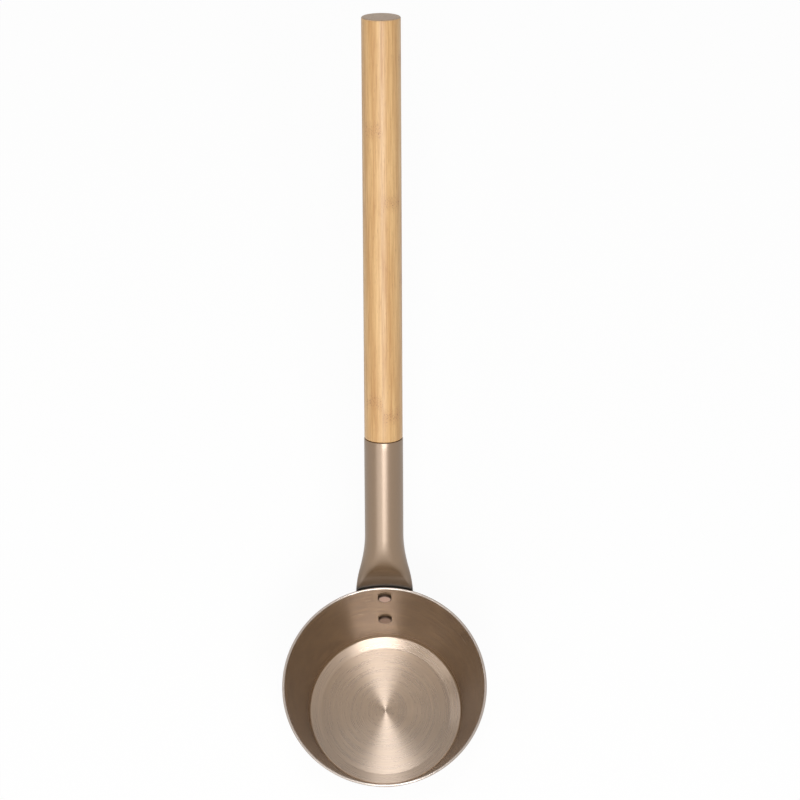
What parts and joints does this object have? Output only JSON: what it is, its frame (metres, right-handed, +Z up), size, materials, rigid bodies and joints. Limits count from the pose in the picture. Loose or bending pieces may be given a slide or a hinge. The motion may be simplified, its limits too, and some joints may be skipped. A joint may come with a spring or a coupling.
{
  "type": "sauna ladle",
  "caption": "Sauna ladle: a round metal bowl on a riveted tube socket that holds a bamboo handle, for throwing water on hot stones.",
  "frame": {"origin": "centre of the bowl's flat underside", "axes": "+Z up along the bowl's axis, +Y from the bowl towards the handle's end, +X to the right seen from the bowl's front"},
  "size_m": [0.12, 0.4, 0.2773],
  "materials": {
    "champagne_metal": "brushed and anodised in a champagne tone, satin",
    "rivet_metal": "satin, slightly duller than the bowl",
    "screw_metal": "plain stainless, satin",
    "bamboo": "laminated bamboo, turned and finely sanded, oiled"
  },
  "bodies": {
    "root": {"bowl": "champagne_metal", "handle_socket": "champagne_metal", "rivet_upper": "rivet_metal", "rivet_lower": "rivet_metal", "handle_grip": "bamboo", "retaining_screw": "screw_metal"}
  },
  "joints": []
}
